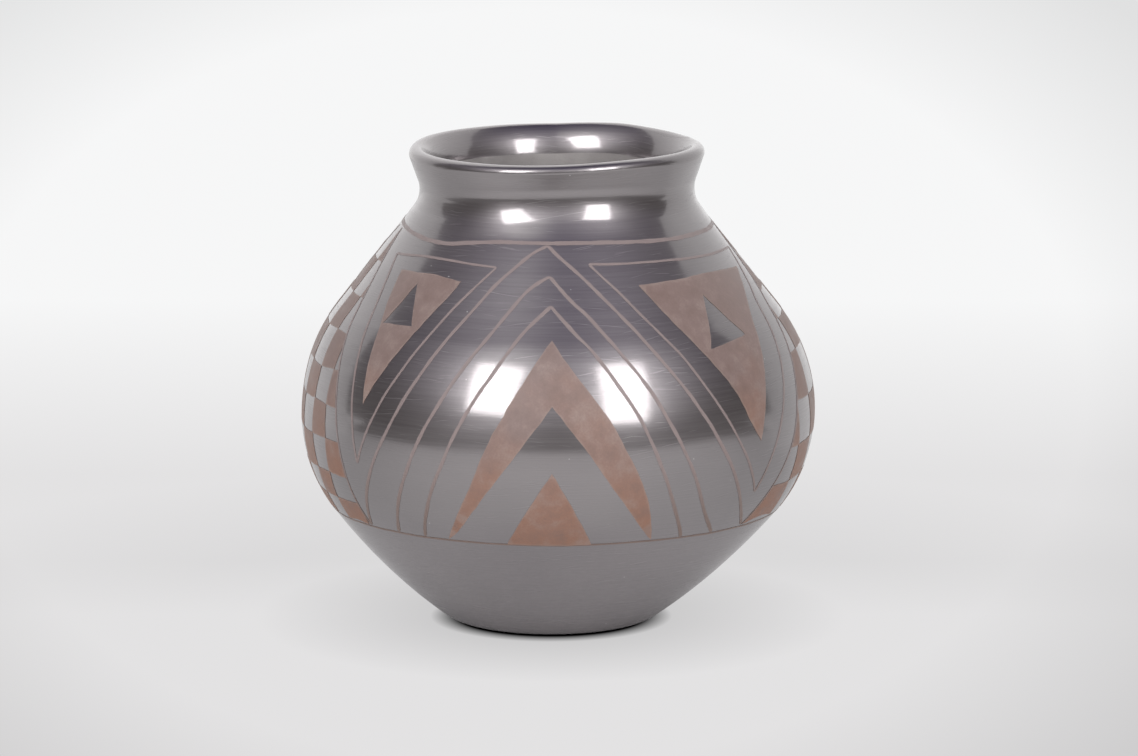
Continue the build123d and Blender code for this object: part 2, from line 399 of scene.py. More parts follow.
def band_faces(rows, first, below):
    """Faces between a row and the next; a corner is (point, place across, place along)."""
    above = (below + 1) % len(rows)
    low, high = below / len(rows), (below + 1) / len(rows)
    faces = []
    for side in range(ring_sides):
        after = (side + 1) % ring_sides
        left, right = side / ring_sides, (side + 1) / ring_sides
        corners = [(first[below] + side, left, low), (first[below] + after, right, low)]
        corners += [(first[above] + after, right, high), (first[above] + side, left, high)]
        if rows[below][0] == 0:
            corners[:2] = [(first[below], left, low)]
        if rows[above][0] == 0:
            corners[2:] = [(first[above], left, high)]
        faces.append(corners)
    return faces


def smooth_mesh(name, points, faces):
    """A new mesh with smooth faces."""
    mesh = bpy.data.meshes.new(name)
    mesh.from_pydata(points, [], faces)
    mesh.polygons.foreach_set("use_smooth", [True] * len(faces))
    return mesh


def clay_mesh(name, runs):
    """Closed mesh of a clay piece: smooth runs of rows turned round the axis, with flat seams between."""
    rows = [row for run in runs for row in run]
    seams = {sum(len(run) for run in runs[:count]) - 1 for count in range(1, len(runs) + 1)}
    points, normals, first = turned_rows(rows)
    closed = rows[0][0] > 0
    faces, directions, places, materials = [], [], [], []
    for below in range(len(rows) if closed else len(rows) - 1):
        matte = rows[below][2] > inside_facing and rows[below][1] < burnish_height
        for corners in band_faces(rows, first, below):
            face = [point for point, across, along in corners]
            faces.append(face)
            materials.append(int(matte))
            places += [value for point, across, along in corners for value in (across, along)]
            if below in seams:
                a, b, c = (points[corner] for corner in face[:3])
                directions += [(b - a).cross(c - a).normalized()] * len(face)
            else:
                directions += [normals[corner] for corner in face]
    mesh = smooth_mesh(name, points, faces)
    mesh.polygons.foreach_set("material_index", materials)
    mesh.uv_layers.new(name="OFBake").data.foreach_set("uv", places)
    mesh.update()
    mesh.normals_split_custom_set(directions)
    return mesh


def new_object(name, data):
    """A new object in the scene."""
    added = bpy.data.objects.new(name, data)
    bpy.context.scene.collection.objects.link(added)
    return added


def add_piece(name, mesh, materials):
    """A piece of the jar that stands for the CAD node of the same name."""
    piece = new_object(name + "_surface", mesh)
    for material in materials:
        mesh.materials.append(material)
    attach(piece, "root")
    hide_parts(name)


def add_clay(materials):
    """Every clay piece, from the base bowl up to the rim."""
    coil_height = (neck_seam - base_line_height) / len(wall_coils)
    seams = [base_line_height + coil_height * index for index in range(len(wall_coils) + 1)]
    runs = {"base_bowl": bowl_runs(seams[0])}
    for name, low, high in zip(wall_coils + ["neck_coil"], seams, seams[1:] + [rim_seam]):
        runs[name] = coil_runs(low, high)
    runs["rim_coil"] = rim_runs(rim_seam)
    for name, piece_runs in runs.items():
        add_piece(name, clay_mesh(name, piece_runs), materials)


# Painted slip. A point of the design is (azimuth in degrees, height in mm).
# A stroke is a smooth line through its points, and a shape is a ring of such lines.
chevrons = {
    "outer_chevrons": [
        [(-3, 156.2), (-10, 151.8), (-20, 140), (-30, 119), (-40, 88.5), (-47, 66.5), (-52.5, 47)],
        [(-3, 156.2), (0, 153.4), (10, 143), (20, 128), (30, 106), (40, 79), (47, 59.5), (53, 47)],
    ],
    "middle_chevrons": [
        [(-2, 145.5), (-10, 138.5), (-20, 119), (-30, 91), (-36.8, 66), (-42.4, 46.6)],
        [(-2, 145.5), (5, 136.5), (10, 130), (20, 110), (28, 85), (34.6, 62), (37.8, 54), (42, 46.6)],
    ],
    "inner_chevrons": [
        [(-1.5, 135.5), (-10, 123.5), (-20.4, 97), (-27, 73), (-34, 46.6)],
        [(-1.5, 135.5), (5, 126), (10, 118), (18, 97.5), (24.7, 71), (28.2, 58.5), (32.5, 46.6)],
    ],
}
frames = {
    "left_frames": [
        [(-67, 147.5), (-50, 149), (-40, 149), (-20, 148)],
        [(-20, 148), (-30, 133), (-40, 107), (-45, 91), (-50, 73)],
        [(-67, 147.5), (-60, 132), (-55, 112), (-52, 92), (-50, 73)],
    ],
    "right_frames": [
        [(11, 149.5), (45, 148.5), (84, 147)],
        [(11, 149.5), (20, 138), (30, 120), (36, 105), (45, 80), (51.8, 61)],
        [(84, 147), (75, 134), (70, 125.5), (63, 99), (56, 76), (51.8, 61)],
    ],
}
borders = {
    "left_borders": [[(-80, 155), (-70, 134), (-62, 110), (-58, 88), (-55, 63), (-52.5, 47)]],
    "right_borders": [[(92, 155), (85, 138), (76, 122), (71, 102), (65, 78), (60, 63), (53.5, 47)]],
}
fills = {
    "wedges": [
        [(-1, 124), (-5.8, 114), (-13.8, 91), (-20.4, 66), (-27, 46.8)],
        [(-27, 46.8), (-23.8, 50.6), (-18.9, 60), (-9.9, 80.4), (-1, 101)],
        [(-1, 101), (5.8, 86), (13.2, 67.5), (18.6, 56), (22, 49.6), (24, 47)],
        [(24, 47), (20.3, 65.5), (15.2, 84), (10, 100), (-1, 124)],
    ],
    "triangles": [
        [(-1.1, 76), (-11.9, 46.2)],
        [(-11.9, 46.2), (-1, 46), (8.8, 46.2)],
        [(8.8, 46.2), (-1.1, 76)],
    ],
    "left_hooks": [
        [(-57.8, 143), (-42, 143.5), (-30.5, 142.3)],
        [(-30.5, 142.3), (-38, 126), (-45, 107), (-48.5, 96)],
        [(-48.5, 96), (-51.4, 120), (-55.2, 133), (-57.8, 143)],
    ],
    "right_hooks": [
        [(26, 141.4), (55, 142.4), (75.5, 141)],
        [(75.5, 141), (66, 130.5), (60.6, 121), (56, 105), (50.9, 81.4)],
        [(50.9, 81.4), (47.6, 90), (44.2, 102), (35.6, 122), (26, 141.4)],
    ],
}

# Corners of the bare triangles in the hooks
reserves = {
    "left_hooks": [[(-46.7, 140), (-40.8, 125.5), (-51.7, 125)]],
    "right_hooks": [[(47.3, 135.8), (55, 120.3), (40.8, 117.5)]],
}

# Lines right round the jar
neck_line = [
    (-180, 156.4), (-120, 156.7), (-80, 156.2), (-48, 154.4), (-34, 155.7), (-20, 156.8), (0, 157),
    (20, 156.5), (44, 155.5), (65, 155.4), (90, 155.3), (130, 156), (180, 156.4),
]
base_line = [(-180, 46), (-90, 46.3), (-30, 46.2), (0, 46), (30, 46.2), (90, 45.8), (180, 46)]

# Edges of the checks beside the front panel, on the left and on the right
left_columns = [-53.5, -63.3, -71, -80, -90, -101.5, -111.5, -126.5]
left_rows = [46.6, 55.5, 65.5, 79, 92, 105, 118.5, 131, 143, 156]
right_columns = [53.5, 68.5, 78, 91.5, 101, 109, 117, 126.5]
right_rows = [46.6, 61, 75, 92, 109, 121, 131, 143, 156]

# Value of a slip mesh's edge attribute all over a brush line.
# On a filled shape it is 0 at the edge and 1 inside.
line_mark = -1.0


def mm_per_degree(height):
    """Length of one degree of azimuth on the wall at a height."""
    return math.radians(wall_at(height)[0])


def surface_step(start, end):
    """Vector from one point of the design to another, in millimetres on the wall."""
    height = (start[1] + end[1]) / 2
    across = (end[0] - start[0]) * mm_per_degree(height)
    return Vector((across, (end[1] - start[1]) / math.cos(wall_at(height)[1])))


def moved(point, step):
    """A point of the design moved by a vector in millimetres on the wall."""
    azimuth, height = point
    return azimuth + step.x / mm_per_degree(height), height + step.y * math.cos(wall_at(height)[1])


def smooth_line(points):
    """Even, closely spaced points of a smooth line through the given ones."""
    extended = [points[0]] + list(points) + [points[-1]]
    line = [points[0]]
    for before, start, end, after in zip(extended, extended[1:], extended[2:], extended[3:]):
        count = max(1, math.ceil(surface_step(start, end).length / brush_step))
        for index in range(1, count + 1):
            share = index / count
            line.append(tuple(
                0.5 * (2 * b + (c - a) * share + (2 * a - 5 * b + 4 * c - d) * share**2
                       + (3 * b - a - 3 * c + d) * share**3)
                for a, b, c, d in zip(before, start, end, after)
            ))
    return line


def waver(length, seed, pitch):
    """Smooth unsteadiness of the hand along a line, from -1 to 1."""
    return noise.noise(Vector((length / pitch, seed * seed_spacing, noise_plane)))


def unsteadiness(wavers, length, seed):
    """Sum of several wavers at a length along a line."""
    return sum(amount * waver(length, seed + shift, pitch) for amount, shift, pitch in wavers)


def brush_sides(points, width, seed):
    """The two sides of a brush line through the points, with its wavering width and its round ends."""
    line = smooth_line(points)
    lengths = [0.0]
    for start, end in zip(line, line[1:]):
        lengths.append(lengths[-1] + surface_step(start, end).length)
    left, right = [], []
    for index, point in enumerate(line):
        ahead = surface_step(line[max(index - 1, 0)], line[min(index + 1, len(line) - 1)]).normalized()
        across = Vector((-ahead.y, ahead.x))
        length = lengths[index]
        end_share = 1 - min(min(length, lengths[-1] - length) / width, 1.0)
        half = width / 2 * (1 + unsteadiness(width_wavers, length, seed))
        half *= math.sqrt(1 - end_rounding * end_share**2)
        middle = unsteadiness(path_wavers, length, seed)
        left.append(moved(point, across * (middle + half)))
        right.append(moved(point, across * (middle - half)))
    return left, right


def shape_outline(sides, seed):
    """Outline of a filled shape from its sides, with the edge's small unsteadiness."""
    outline = []
    for number, side in enumerate(sides, start=seed):
        for index, point in enumerate(smooth_line(side)[:-1]):
            length = index * brush_step
            across = waver(length, number, edge_pitch)
            along = waver(length, number + edge_seed_shift, edge_pitch)
            outline.append(moved(point, Vector((across, along)) * edge_waver))
    return outline


def pairs_round(ring):
    """Each item of a ring with the next one."""
    return list(zip(ring, ring[1:] + ring[:1]))


class Region:
    """An outline with its box, for quick tests of what lies in it."""

    def __init__(self, outline):
        self.outline = outline
        self.sides = pairs_round(outline)
        self.low = [min(point[axis] for point in outline) for axis in (0, 1)]
        self.high = [max(point[axis] for point in outline) for axis in (0, 1)]

    def holds(self, point):
        """Whether the outline goes round a point."""
        if any(not self.low[axis] <= point[axis] <= self.high[axis] for axis in (0, 1)):
            return False
        x, y = point
        inside = False
        for (x0, y0), (x1, y1) in self.sides:
            if (y0 > y) != (y1 > y) and x < x0 + (y - y0) * (x1 - x0) / (y1 - y0):
                inside = not inside
        return inside


def inner_points(region):
    """Points spread over the middle of a filled region."""
    points = []
    turn_step = fill_step / mm_per_degree((region.low[1] + region.high[1]) / 2)
    for row in range(1, math.ceil((region.high[1] - region.low[1]) / fill_step)):
        height = region.low[1] + row * fill_step
        for column in range(1, math.ceil((region.high[0] - region.low[0]) / turn_step)):
            point = (region.low[0] + (column - row % 2 * 0.5) * turn_step, height)
            clear = min(surface_step(point, corner).length for corner in region.outline) > fill_step / 2
            if clear and region.holds(point):
                points.append(point)
    return points


def painted_triangles(outlines, holes, rooms, filled):
    """Triangles that cover the outlines, without the holes and within the rooms, and their points."""
    groups = [[Region(outline) for outline in group] for group in (outlines, holes, rooms)]
    regions, holes, rooms = groups
    stretch = mm_per_degree(belly_height)
    points, edges = [], []
    for region in regions + holes + rooms:
        start = len(points)
        points += region.outline
        count = len(region.outline)
        edges += [(start + index, start + (index + 1) % count) for index in range(count)]
    if filled:
        for region in regions:
            points += inner_points(region)
    flat = [Vector((azimuth * stretch, height)) for azimuth, height in points]
    found, _, faces = delaunay_2d_cdt(flat, edges, [], 0, merge_distance)[:3]
    spots = [(point.x / stretch, point.y) for point in found]
    kept = []
    for face in faces:
        centre = tuple(sum(spots[corner][axis] for corner in face) / len(face) for axis in (0, 1))
        if rooms and not any(room.holds(centre) for room in rooms):
            continue
        if any(hole.holds(centre) for hole in holes):
            continue
        if any(region.holds(centre) for region in regions):
            kept.append(face)
    return spots, kept


def facing_out(face, spots):
    """Corners of a triangle in the order that makes it face outwards."""
    a, b, c = (Vector(spots[corner]) for corner in face)
    return list(face) if (b - a).cross(c - a) > 0 else list(face)[::-1]


def thin_mesh(name, points, faces, edge_shares):
    """Mesh of a slip layer, smooth apart from its edges, with the edge attribute of each point."""
    mesh = smooth_mesh(name, points, faces)
    mesh.attributes.new("edge", "FLOAT", "POINT").data.foreach_set("value", edge_shares)
    mesh.update()
    mesh.set_sharp_from_angle(angle=sharp_angle)
    return mesh


def slip_mesh(name, sheets, layer, is_line):
    """Closed thin mesh of a slip layer from sheets of triangles; each layer stands a little prouder."""
    points, faces, edge_shares = [], [], []
    face_height = slip_face + slip_layer_step * layer
    for spots, triangles in sheets:
        used = sorted({corner for face in triangles for corner in face})
        front = {corner: len(points) + index for index, corner in enumerate(used)}
        back = {corner: front[corner] + len(used) for corner in used}
        points += [on_wall(*spots[corner], face_height) for corner in used]
        points += [on_wall(*spots[corner], -slip_bed) for corner in used]
        rings = [facing_out(face, spots) for face in triangles]
        for ring in rings:
            faces.append([front[corner] for corner in ring])
            faces.append([back[corner] for corner in reversed(ring)])
        directed = {pair for ring in rings for pair in pairs_round(ring)}
        rim = [(start, end) for start, end in sorted(directed) if (end, start) not in directed]
        faces += [[front[end], front[start], back[start], back[end]] for start, end in rim]
        on_rim = {corner for pair in rim for corner in pair}
        edge_shares += [line_mark if is_line else float(corner not in on_rim) for corner in used] * 2
    return thin_mesh(name, points, faces, edge_shares)


def ring_line_mesh(name, line, width, seed):
    """Closed thin mesh of a brush line that runs right round the jar."""
    left, right = brush_sides(line, width, seed)
    cut = math.ceil(width / brush_step) + 1
    points = []
    for upper, lower in zip(left[cut:-cut], right[cut:-cut]):
        points += [on_wall(*lower, -slip_bed), on_wall(*lower, slip_face)]
        points += [on_wall(*upper, slip_face), on_wall(*upper, -slip_bed)]
    faces = []
    for here in range(0, len(points), 4):
        there = (here + 4) % len(points)
        for corner in range(4):
            after = (corner + 1) % 4
            faces.append([here + corner, there + corner, there + after, here + after])
    return thin_mesh(name, points, faces, [line_mark] * len(points))


def turned(outline, half_turns):
    """The same outline, moved round the jar by half turns."""
    return [(azimuth + 180 * half_turns, height) for azimuth, height in outline]


def strokes_sheets(strokes, width, seed):
    """A group of brush lines on the front, and its twin on the back."""
    sheets = []
    for twin in (0, 1):
        outlines = []
        for number, stroke in enumerate(strokes, start=seed + twin_seed * twin):
            left, right = brush_sides(stroke, width, number)
            outlines.append(turned(left + right[::-1], twin))
        sheets.append(painted_triangles(outlines, [], [], False))
    return sheets


def shape_sheets(sides, bare, seed):
    """A filled shape with its bare rings on the front, and its twin on the back."""
    sheets = []
    for twin in (0, 1):
        number = seed + twin_seed * twin
        outline = turned(shape_outline(sides, number), twin)
        holes = [turned(shape_outline(pairs_round(ring), number + reserve_seed), twin) for ring in bare]
        sheets.append(painted_triangles([outline], holes, [], True))
    return sheets


def uneven_corner(point):
    """Corner of a check, moved a little by the unsteadiness of the hand."""
    azimuth, height = point
    step = Vector((waver(azimuth, height, corner_pitch), waver(height, azimuth, corner_pitch)))
    return moved(point, step)


def check_sheet(columns, rows, near_border, far_border, seed):
    """Painted checks of a side panel, within the room between its two borders."""
    side = 1 if columns[0] > 0 else -1
    near = [moved(point, Vector((side * check_gap, 0))) for point in smooth_line(near_border)]
    far = [moved(point, Vector((-side * check_gap, 0))) for point in smooth_line(far_border)]
    cells = []
    for row, (low, high) in enumerate(zip(rows, rows[1:])):
        for column, (start, end) in enumerate(zip(columns, columns[1:])):
            if (row + column) % 2 == 0:
                square = [(start, low), (end, low), (end, high), (start, high)]
                ring = [uneven_corner(point) for point in square]
                sides = pairs_round(ring)
                cells.append(shape_outline(sides, seed + len(sides) * len(cells)))
    return painted_triangles(cells, [], [near + far[::-1]], True)


def checker_sheets():
    left_border, right_border = borders["left_borders"][0], borders["right_borders"][0]
    left_seed, right_seed = check_seeds
    return [
        check_sheet(left_columns, left_rows, left_border, turned(right_border, -1), left_seed),
        check_sheet(right_columns, right_rows, right_border, turned(left_border, 1), right_seed),
    ]


def add_slip(panel_slip, check_slip):
    """Every painted piece."""
    sheets = {}
    for group, width in [(chevrons, chevron_width), (frames, frame_width), (borders, border_width)]:
        for name, strokes in group.items():
            sheets[name] = strokes_sheets(strokes, width, piece_seeds * len(sheets))
    line_names = set(sheets)
    for name, sides in fills.items():
        sheets[name] = shape_sheets(sides, reserves.get(name, []), piece_seeds * len(sheets))
    sheets["checkers"] = checker_sheets()
    for layer, (name, piece_sheets) in enumerate(sheets.items(), start=1):
        material = check_slip if name == "checkers" else panel_slip
        mesh = slip_mesh(name, piece_sheets, layer, name in line_names)
        add_piece(name, mesh, [material])
    lines = {"base_line": (base_line, base_line_width), "neck_line": (neck_line, neck_line_width)}
    for seed, (name, (line, width)) in enumerate(lines.items(), start=ring_line_seed):
        add_piece(name, ring_line_mesh(name, line, width, seed), [panel_slip])


# Burnished clay: a clear mirror under a haze of fine scratches, with dust on it.
# A bump is (strength, depth).
clay_dark = (0.284, 0.267, 0.271, 1)
clay_light = (0.310, 0.291, 0.294, 1)
mirror_roughness = (0.10, 0.16)
mirror_limits = (0.7, 1.3)
haze_roughness = 0.39
haze_share = (0.48, 0.66)
haze_limits = (0.75, 1.25)
scratch_slants = (0.16, 0.05, -0.10)
scratch_limits = (0.62, 0.72)
stroke_bump = (0.07, 0.0002)
dust_colour = (0.6, 0.59, 0.57, 1)
dust_cells = 150.0
speck_edge = (0.03, 0.05)
speck_share = 0.6
speck_choice = (0.75, 0.76)

# Matte clay on the inside
matte_dark = (0.22, 0.205, 0.2, 1)
matte_light = (0.32, 0.30, 0.29, 1)
matte_limits = (0.3, 0.7)
matte_roughness = (0.65, 0.85)
matte_bump = (0.3, 0.0003)

# Slip: warm low on the jar and cool above, mottled, and with lines darker low on the jar and lighter
# above
slip_warm = (0.272, 0.140, 0.091, 1)
slip_cool = (0.214, 0.154, 0.137, 1)
slip_pale = (0.310, 0.246, 0.214, 1)
slip_dark = (0.160, 0.108, 0.090, 1)
line_low = (0.165, 0.118, 0.098, 1)
line_high = (0.226, 0.184, 0.178, 1)
line_heights = (0.048, 0.078)
line_share = 0.85
cool_heights = (0.085, 0.15)
wash_drift = 0.08
pale_limits = (0.5, 0.72)
dark_limits = (0.5, 0.28)
mottle_share = 0.5
grain_share = 0.18
thin_width = 0.35
thin_share = 0.3
panel_gloss = 0.5
check_gloss = 0.18
slip_roughness = (0.38, 0.55)
slip_bump = (0.15, 0.0002)

# Noises: cycles per metre along each axis, detail, and roughness where it isn't the usual one
fine_strokes = ((22.0, 22.0, 1500.0), 4.0)
broad_strokes = ((14.0, 14.0, 260.0), 3.0)
clay_clouds = ((16.0, 16.0, 24.0), 3.0)
scratch_lines = ((46.0, 46.0, 1900.0), 2.0)
matte_clouds = ((60.0, 60.0, 90.0), 4.0)
matte_grain = ((900.0, 900.0, 900.0), 3.0)
slip_wash = ((40.0, 40.0, 40.0), 3.0)
slip_blotches = ((150.0, 150.0, 150.0), 4.0, 0.6)
slip_grain = ((1200.0, 1200.0, 1200.0), 3.0)
noise_limits = (0.35, 0.65)


def set_inputs(tree, node, inputs):
    """Give inputs of a node their values, or link them to sockets."""
    for name, value in inputs.items():
        if isinstance(value, bpy.types.NodeSocket):
            tree.links.new(value, node.inputs[name])
        else:
            node.inputs[name].default_value = value


def add_node(tree, kind, inputs=None, **settings):
    """A new shader node with its settings and inputs."""
    node = tree.nodes.new("ShaderNode" + kind)
    for name, value in settings.items():
        setattr(node, name, value)
    set_inputs(tree, node, inputs or {})
    return node


def new_material(name):
    """A new material, with its tree and its principled shader."""
    material = bpy.data.materials.new(name)
    material.use_nodes = True
    tree = material.node_tree
    return material, tree, tree.nodes["Principled BSDF"]


def make_surface(tree, shader):
    """Make a shader the surface of its material."""
    set_inputs(tree, tree.nodes["Material Output"], {"Surface": shader})


def object_place(tree):
    """The place of a point in its object's own space."""
    return add_node(tree, "TexCoord").outputs["Object"]


def axes_of(tree, vector):
    """The three parts of a vector."""
    return add_node(tree, "SeparateXYZ", {"Vector": vector}).outputs


def calculated(tree, operation, *values):
    """Result of a calculation with values."""
    return add_node(tree, "Math", dict(enumerate(values)), operation=operation).outputs[0]


def product(tree, first, second):
    """Two values multiplied."""
    return calculated(tree, "MULTIPLY", first, second)


def vector_results(tree, operation, *vectors):
    """Results of a calculation with vectors: a vector and a value."""
    return add_node(tree, "VectorMath", dict(enumerate(vectors)), operation=operation).outputs


def ranged(tree, value, from_low, from_high, to_low=0.0, to_high=1.0):
    """A value mapped from one range to another, and held at its ends."""
    return add_node(tree, "MapRange", {
        "Value": value, "From Min": from_low, "From Max": from_high, "To Min": to_low, "To Max": to_high,
    }).outputs["Result"]


def mixed(tree, share, first, second):
    """Two colours mixed by a share."""
    return add_node(tree, "Mix", {0: share, 6: first, 7: second}, data_type="RGBA").outputs[2]


def mixed_shaders(tree, share, first, second):
    """Two shaders mixed by a share."""
    return add_node(tree, "MixShader", {0: share, 1: first, 2: second}).outputs[0]


def glowing(tree, colour):
    """A shader that gives off a colour."""
    return add_node(tree, "Emission", {"Color": colour}).outputs[0]


def bumped(tree, height, strength, depth):
    """Normals of a surface with small bumps."""
    inputs = {"Strength": strength, "Distance": depth, "Height": height}
    return add_node(tree, "Bump", inputs).outputs["Normal"]


def stretched_noise(tree, scale, detail, roughness=0.55, slant=0.0):
    """Noise in the jar's own space, scaled apart along each axis and slanted by an angle in radians."""
    level = add_node(tree, "Mapping", {"Vector": object_place(tree), "Rotation": (0, slant, 0)})
    mapping = add_node(tree, "Mapping", {"Vector": level.outputs["Vector"], "Scale": scale})
    return add_node(tree, "TexNoise", {
        "Vector": mapping.outputs["Vector"], "Scale": 1.0, "Detail": detail, "Roughness": roughness,
    }).outputs["Fac"]


def dust_specks(tree):
    """Small scattered specks of dust: above 0 on a speck and 0 elsewhere."""
    cells = add_node(tree, "TexVoronoi", {"Vector": object_place(tree), "Scale": dust_cells}).outputs
    near = ranged(tree, cells["Distance"], *speck_edge, speck_share, 0.0)
    colour = add_node(tree, "SeparateColor", {"Color": cells["Color"]})
    return product(tree, near, ranged(tree, colour.outputs[0], *speck_choice))


def scratches(tree):
    """Sparse slanted scratches left by the burnishing stone: 1 on a scratch and 0 elsewhere."""
    found = 0.0
    for slant in scratch_slants:
        streaks = stretched_noise(tree, *scratch_lines, slant=slant)
        found = calculated(tree, "MAXIMUM", ranged(tree, streaks, *scratch_limits), found)
    return found


def burnished_clay():
    """Graphite-black clay rubbed to a sheen in level strokes."""
    material, tree, mirror = new_material("burnished_clay")
    haze = add_node(tree, "BsdfPrincipled")
    strokes = calculated(
        tree, "ADD", stretched_noise(tree, *fine_strokes), stretched_noise(tree, *broad_strokes),
    )
    cloud = stretched_noise(tree, *clay_clouds)
    clay = mixed(tree, ranged(tree, cloud, *noise_limits), clay_dark, clay_light)
    specks = dust_specks(tree)
    shared = {
        "Base Color": mixed(tree, specks, clay, dust_colour),
        "Metallic": ranged(tree, specks, 0.0, 1.0, 1.0, 0.0),
        "Normal": bumped(tree, strokes, *stroke_bump),
    }
    roughness = ranged(tree, strokes, *mirror_limits, *mirror_roughness)
    set_inputs(tree, mirror, {**shared, "Roughness": roughness})
    set_inputs(tree, haze, {**shared, "Roughness": haze_roughness})
    rubbed = ranged(tree, strokes, *haze_limits, *haze_share)
    hazy = calculated(tree, "MAXIMUM", rubbed, scratches(tree))
    make_surface(tree, mixed_shaders(tree, hazy, mirror.outputs[0], haze.outputs[0]))
    return material


def unburnished_clay():
    """The matte grey clay left on the inside, below the reach of the burnishing stone."""
    material, tree, shader = new_material("unburnished_clay")
    cloud = stretched_noise(tree, *matte_clouds)
    grain = stretched_noise(tree, *matte_grain)
    set_inputs(tree, shader, {
        "Base Color": mixed(tree, ranged(tree, cloud, *matte_limits), matte_dark, matte_light),
        "Roughness": ranged(tree, grain, *matte_limits, *matte_roughness),
        "Normal": bumped(tree, grain, *matte_bump),
    })
    return material


def slip_colour(tree, blotch, grain):
    """Brown of the slip: warm low on the jar, mottled by the brush, paler where it thins at its edges."""
    height = axes_of(tree, object_place(tree))["Z"]
    drift = calculated(tree, "MULTIPLY_ADD", stretched_noise(tree, *slip_wash), wash_drift, height)
    base = mixed(tree, ranged(tree, drift, *cool_heights), slip_warm, slip_cool)
    pale = mixed(tree, ranged(tree, blotch, *pale_limits, 0.0, mottle_share), base, slip_pale)
    dark = mixed(tree, ranged(tree, blotch, *dark_limits, 0.0, mottle_share), pale, slip_dark)
    grainy = mixed(tree, ranged(tree, grain, *noise_limits, grain_share, 0.0), dark, slip_dark)
    edge = add_node(tree, "Attribute", attribute_name="edge").outputs["Fac"]
    thin = mixed(tree, ranged(tree, edge, 0.0, thin_width, thin_share, 0.0), grainy, slip_pale)
    line_tone = mixed(tree, ranged(tree, height, *line_heights), line_low, line_high)
    return mixed(tree, ranged(tree, edge, line_mark, 0.0, line_share, 0.0), thin, line_tone)


def painted_slip(name, gloss):
    """Matte reddish-brown slip."""
    material, tree, shader = new_material(name)
    blotch = stretched_noise(tree, *slip_blotches)
    grain = stretched_noise(tree, *slip_grain)
    set_inputs(tree, shader, {
        "Base Color": slip_colour(tree, blotch, grain),
        "Roughness": ranged(tree, blotch, *noise_limits, *slip_roughness),
        "Specular IOR Level": gloss,
        "Normal": bumped(tree, grain, *slip_bump),
    })
    return material


# The photograph's frame, and where the jar's middle lies in it
image_width = 1138
jar_pixel = (556, 385)
centre_pixel = (569, 378)
pixels_per_mm = 2.572
view_target = 91.2
view_distance = 2600.0
view_elevation = math.radians(10.5)
sensor_width = 36.0

# Colours of the stage
white = (1.0, 1.0, 1.0, 1)
black = (0.0, 0.0, 0.0, 1)
floor_colour = (0.79, 0.785, 0.79, 1)
near_level = (0.768, 0.760, 0.765, 1)
far_level = (0.925, 0.927, 0.93, 1)
floor_front = (1.01, 1.0, 1.005, 1)
floor_side = (0.73, 0.725, 0.73, 1)
floor_back = (0.92, 0.915, 0.92, 1)
room_low = (0.145, 0.130, 0.128, 1)
room_high = (0.150, 0.130, 0.165, 1)
ceiling = (0.02, 0.0, 0.09, 1)
spill_colour = (1.0, 0.96, 1.03, 1)
card_dim = (0.86, 0.86, 0.86, 1)
card_bright = (1.4, 1.4, 1.4, 1)

# Floor: its shades by depth behind the jar and by distance from the foot
floor_size = 8.0
floor_roughness = 0.9
foot_depth = -0.002
far_depths = (0.28, 0.72)
shadow_depths = (0.0, 0.1)
shadow_reach = (0.16, 0.3)
shadow_loss = 0.08
contact_reach = (0.0372, 0.0472)
contact_share = 0.79
shade_reach = (0.0472, 0.115)

# Light lost towards the photograph's corners; the floor rises in the view with its depth
corner_loss = 0.19
corner_limits = (1.0, 1.45)
corner_spread = (11.8, 17.7, 0)
corner_shift = (0.064, 0.02, 0)
floor_rise = 0.182
floor_drop = -0.09

# Floor and room as the jar mirrors them
side_depths = (-0.25, 0.0)
back_depths = (0.05, 0.2)
paper_depths = (0.12, 0.20)
lit_reach = (0.045, 0.13)
floor_end = (0.74, 0.78)
room_heights = (0.2, 0.7)
paper_directions = (0.42, 0.5)

# Patches of the room: direction of the middle, angles where it ends and is full, power and strength
left_spill = ((-37, 41), 60, 14, 2.7, 0.60)
right_spill = ((37, 40), 60, 14, 2.7, 0.48)
upper_spill = ((-30, 50), 17, 9, 1.0, 0.85)
dark_ceiling = ((0, 78), 42, 14, 1.0, 1.0)

# Softboxes: azimuth, elevation, width, height and roll
softboxes = {
    "left_softbox": (-31.2, 31.0, 0.78, 1.20, 1),
    "right_softbox": (33.5, 28.2, 0.69, 1.25, -7),
}
softbox_distance = 2.0
softbox_radiance = 6.5

# White cards beside the jar: place to the right, and outline as (depth, height)
cards = {
    "left_card": (-0.5, [(0.07, 0.0), (0.57, 2.0), (3.0, 2.0), (3.0, 0.0)]),
    "right_card": (
        0.325, [(0.04, 0.0), (0.04, 0.38), (0.20, 0.69), (0.50, 1.25), (3.0, 1.25), (3.0, 0.0)],
    ),
}
card_depths = (0.05, 1.0)


def stage_sheet(name, corners):
    """A flat sheet of the stage, with its material's tree and shader."""
    mesh = bpy.data.meshes.new(name)
    mesh.from_pydata(corners, [], [tuple(range(len(corners)))])
    sheet = new_object(name, mesh)
    material, tree, shader = new_material(name)
    mesh.materials.append(material)
    return sheet, tree, shader


